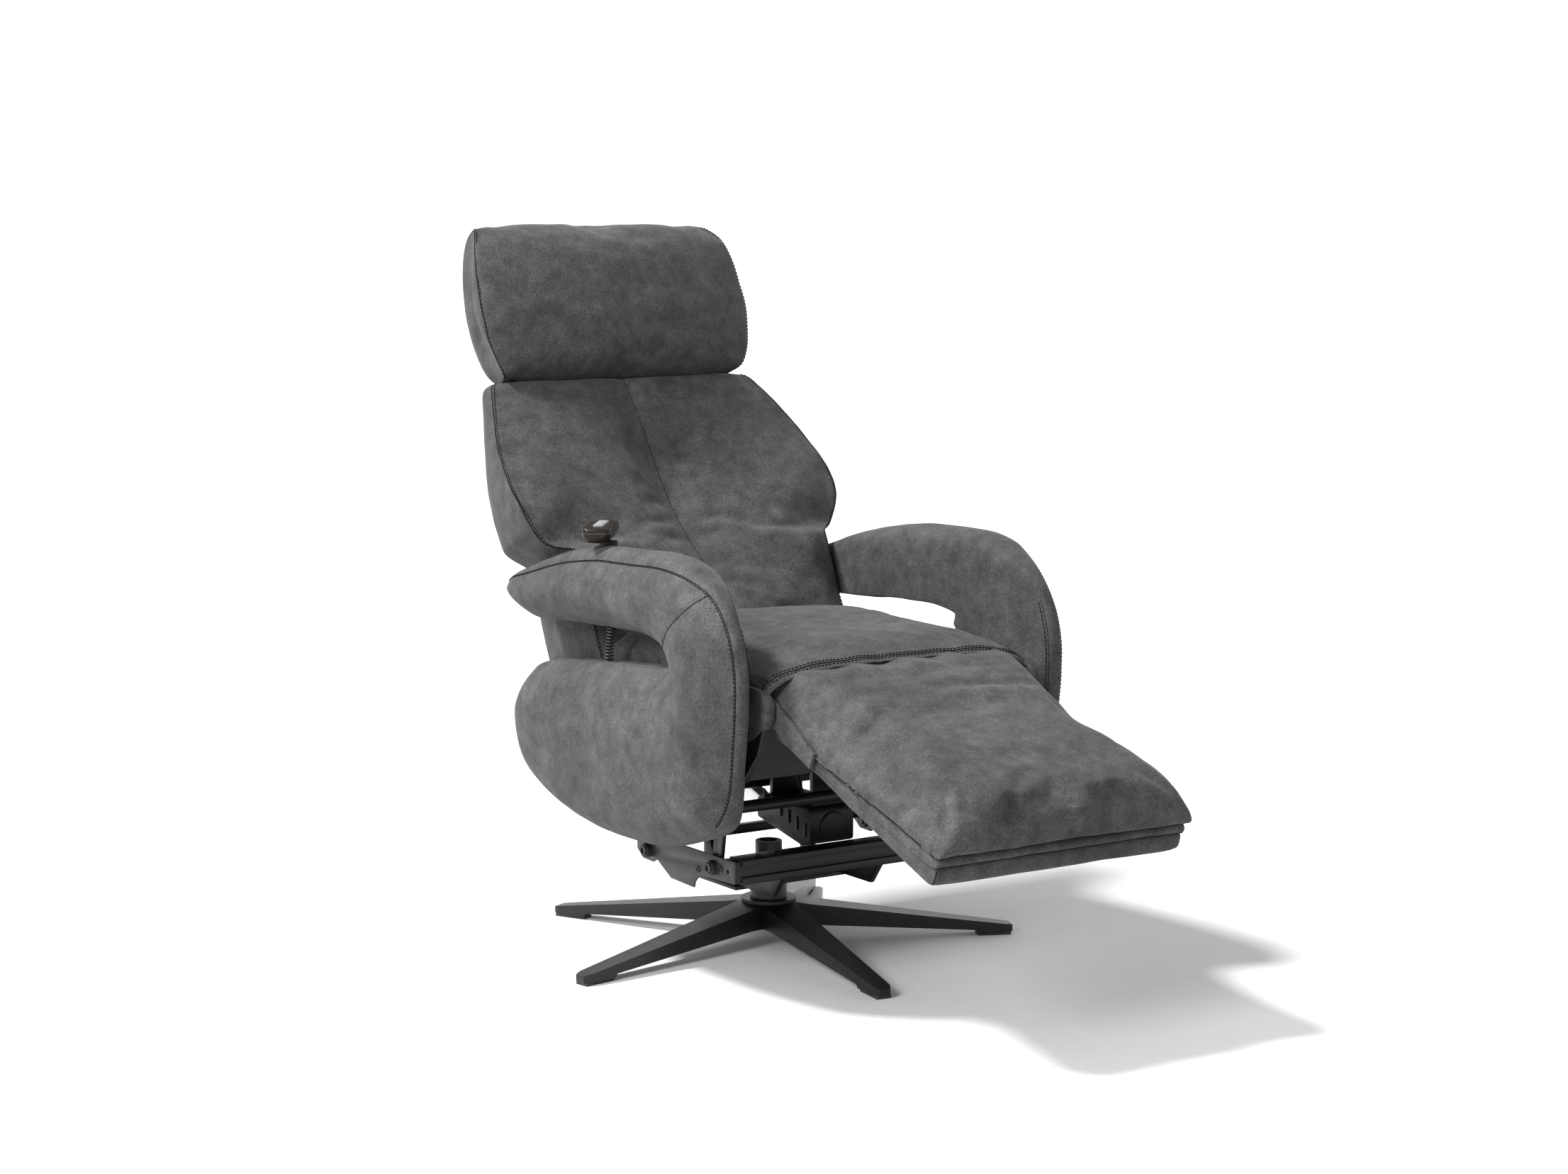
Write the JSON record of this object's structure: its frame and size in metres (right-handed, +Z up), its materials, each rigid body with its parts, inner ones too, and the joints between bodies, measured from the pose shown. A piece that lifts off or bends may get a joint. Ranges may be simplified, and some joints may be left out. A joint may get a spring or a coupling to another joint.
{
  "type": "powered recliner armchair",
  "caption": "Swivelling powered recliner armchair on a star base, with curved open arms, a fold-out legrest, a tilting headrest and a corded handset on one arm.",
  "frame": {"origin": "the swivel axis where it meets the floor", "axes": "+Z up, the sitter faces -Y, +X is the sitter's left"},
  "size_m": [0.7222, 1.3136, 1.0786],
  "materials": {
    "painted_base": "black satin powder coat",
    "rubber_black": "matt",
    "black_steel": "black satin paint",
    "grey_steel": "dark grey satin paint",
    "zinc_steel": "zinc plated",
    "webbing": "woven",
    "leather_grey": "grey nubuck with a soft nap",
    "black_plastic": "matt",
    "aluminium_rail": "drawn",
    "handset_gloss": "gloss dark brown-black",
    "silver_button": "silver paint",
    "wood_panel": "black paint"
  },
  "bodies": {
    "base": {"star_base": "painted_base", "column_tube": "painted_base", "glide_1": "rubber_black", "glide_2": "rubber_black", "glide_3": "rubber_black", "glide_4": "rubber_black", "glide_5": "rubber_black", "swivel_ring": "black_steel"},
    "carriage": {"swivel_spindle": "black_steel", "swivel_plate": "black_steel", "side_plate_left": "grey_steel", "side_plate_right": "grey_steel", "front_cross_tube": "black_steel", "rear_cross_bar": "black_steel", "beam_left": "black_steel", "beam_right": "black_steel", "rear_bolt_left": "zinc_steel", "rear_bolt_right": "zinc_steel", "front_bolt_left": "zinc_steel", "front_bolt_right": "zinc_steel"},
    "front_link": {"front_link_left": "black_steel", "front_link_right": "black_steel", "front_link_tube": "black_steel"},
    "rear_link": {"rear_link_left": "black_steel", "rear_link_right": "black_steel", "rear_link_tube": "black_steel"},
    "seat": {"seat_frame": "black_steel", "spring_mat": "webbing", "seat_cushion": "leather_grey", "armrest_left": "leather_grey", "armrest_right": "leather_grey", "control_box": "black_plastic", "back_motor": "black_plastic", "back_rail": "aluminium_rail", "leg_motor": "black_plastic", "handset_stem": "black_plastic", "handset_shell": "handset_gloss", "handset_face": "handset_gloss", "coil_cord": "black_plastic"},
    "backrest": {"back_frame": "wood_panel", "back_lever_arm": "black_steel", "back_cushion": "leather_grey"},
    "headrest": {"headrest_bracket": "grey_steel", "headrest_cushion": "leather_grey"},
    "legrest": {"legrest_board": "leather_grey", "legrest_lever_arm": "black_steel", "legrest_cushion": "leather_grey"},
    "back_slider": {"back_slider": "black_plastic"},
    "leg_rod": {"leg_rod": "zinc_steel"},
    "button_1": {"button_1": "silver_button"},
    "button_2": {"button_2": "silver_button"},
    "button_3": {"button_3": "silver_button"},
    "button_4": {"button_4": "silver_button"},
    "button_5": {"button_5": "silver_button"}
  },
  "joints": [
    {"name": "swivel", "type": "hinge", "parent": "base", "child": "carriage", "pos_m": [0, 0, 0], "axis": [0, 0, 1], "continuous": true},
    {"name": "front_link_swing", "type": "hinge", "parent": "carriage", "child": "front_link", "pos_m": [0, -0.158, 0.17], "axis": [1, 0, 0], "range_deg": [-4.8, 10]},
    {"name": "seat_on_front_link", "type": "hinge", "parent": "front_link", "child": "seat", "pos_m": [0, -0.178, 0.29035], "axis": [1, 0, 0], "range_deg": [-10, 4.8]},
    {"name": "rear_link_swing", "type": "hinge", "parent": "carriage", "child": "rear_link", "pos_m": [0, 0.024, 0.163], "axis": [1, 0, 0], "range_deg": [-4.8, 10]},
    {"name": "backrest_recline", "type": "hinge", "parent": "seat", "child": "backrest", "pos_m": [0, 0.175, 0.398], "axis": [-1, 0, 0], "range_deg": [-12, 25]},
    {"name": "headrest_tilt", "type": "hinge", "parent": "backrest", "child": "headrest", "pos_m": [0, 0.45226, 0.83064], "axis": [1, 0, 0], "range_deg": [-8, 30]},
    {"name": "legrest_lift", "type": "hinge", "parent": "seat", "child": "legrest", "pos_m": [0, -0.335, 0.43], "axis": [-1, 0, 0], "range_deg": [-43, 25]},
    {"name": "back_slider_travel", "type": "slide", "parent": "seat", "child": "back_slider", "axis": [0, -0.9527, -0.304], "range_m": [-0.0268, 0.0545]},
    {"name": "leg_rod_travel", "type": "slide", "parent": "seat", "child": "leg_rod", "axis": [0, -1, 0], "range_m": [-0.0693, 0.0405]},
    {"name": "button_1_press", "type": "slide", "parent": "seat", "child": "button_1", "axis": [0, 0, -1], "range_m": [0, 0.001], "stiffness_N_per_m": 400},
    {"name": "button_2_press", "type": "slide", "parent": "seat", "child": "button_2", "axis": [0, 0, -1], "range_m": [0, 0.001], "stiffness_N_per_m": 400},
    {"name": "button_3_press", "type": "slide", "parent": "seat", "child": "button_3", "axis": [0, 0, -1], "range_m": [0, 0.001], "stiffness_N_per_m": 400},
    {"name": "button_4_press", "type": "slide", "parent": "seat", "child": "button_4", "axis": [0, 0, -1], "range_m": [0, 0.001], "stiffness_N_per_m": 400},
    {"name": "button_5_press", "type": "slide", "parent": "seat", "child": "button_5", "axis": [0, 0, -1], "range_m": [0, 0.001], "stiffness_N_per_m": 400}
  ],
  "couplings": [
    {"joint": "front_link_swing", "follows": "backrest_recline", "ratio": 0.4},
    {"joint": "seat_on_front_link", "follows": "backrest_recline", "ratio": -0.4},
    {"joint": "rear_link_swing", "follows": "backrest_recline", "ratio": 0.4},
    {"joint": "back_slider_travel", "follows": "backrest_recline", "m_per_rad": 0.1224},
    {"joint": "leg_rod_travel", "follows": "legrest_lift", "m_per_rad": 0.0909}
  ]
}
